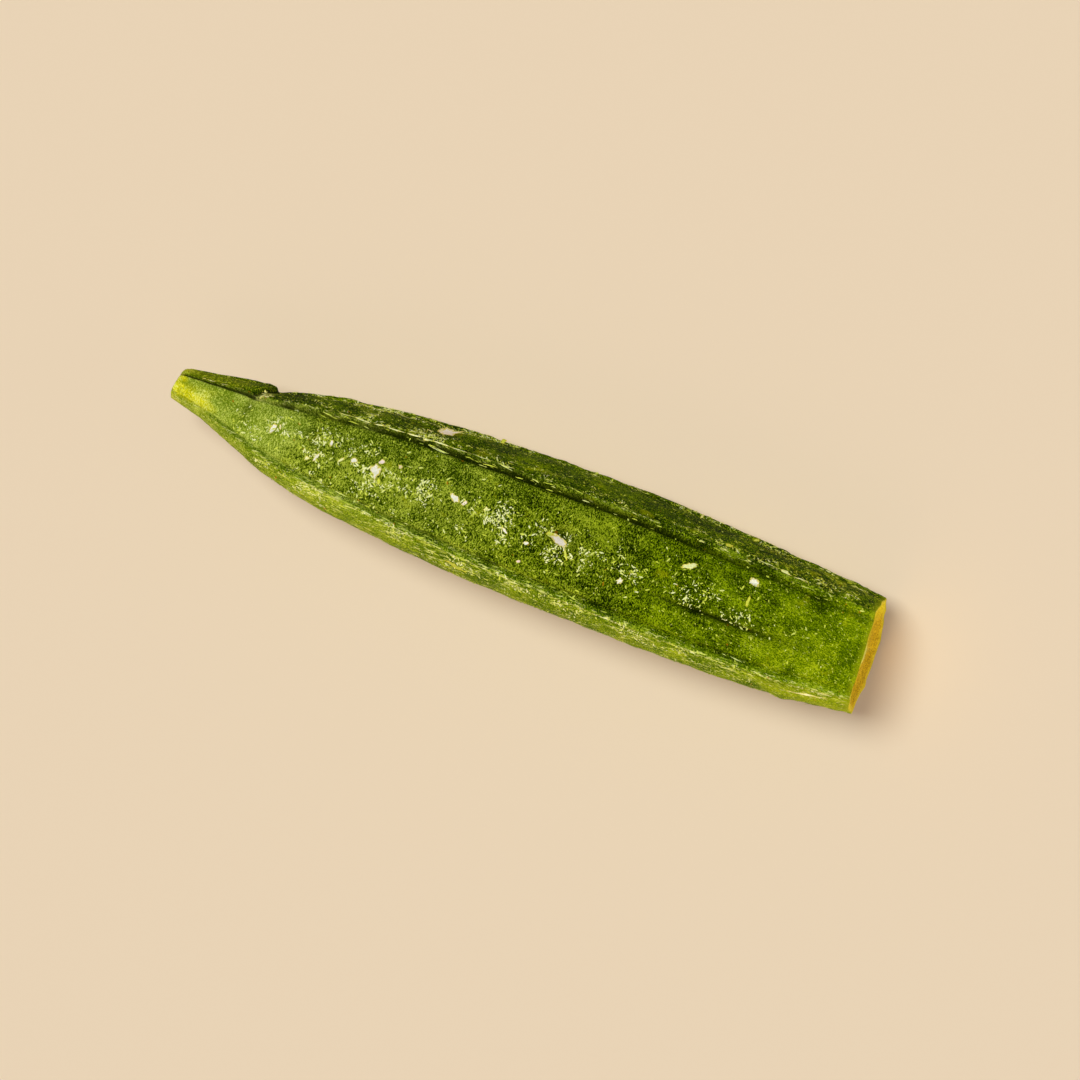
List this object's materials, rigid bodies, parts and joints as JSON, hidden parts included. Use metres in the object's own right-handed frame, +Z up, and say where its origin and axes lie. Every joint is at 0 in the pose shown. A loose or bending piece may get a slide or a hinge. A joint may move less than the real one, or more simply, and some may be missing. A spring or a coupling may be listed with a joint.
{
  "type": "okra pod",
  "caption": "Trimmed okra pod lying on its side: tapered, ridged and furrowed, cut off small at the tip and broad at the stem end.",
  "frame": {"origin": "centre of the bounding box in X and Y, on the surface the pod lies on", "axes": "+X along the pod towards its tip, the stem-end cut at -X; +Z up; the broad furrowed face that shows looks up and a little towards -Y"},
  "size_m": [0.0794, 0.0158, 0.0146],
  "materials": {
    "skin": "satin, finely fibrous, green with pale flecks"
  },
  "bodies": {
    "root": {"okra_pod": "skin"}
  },
  "joints": []
}
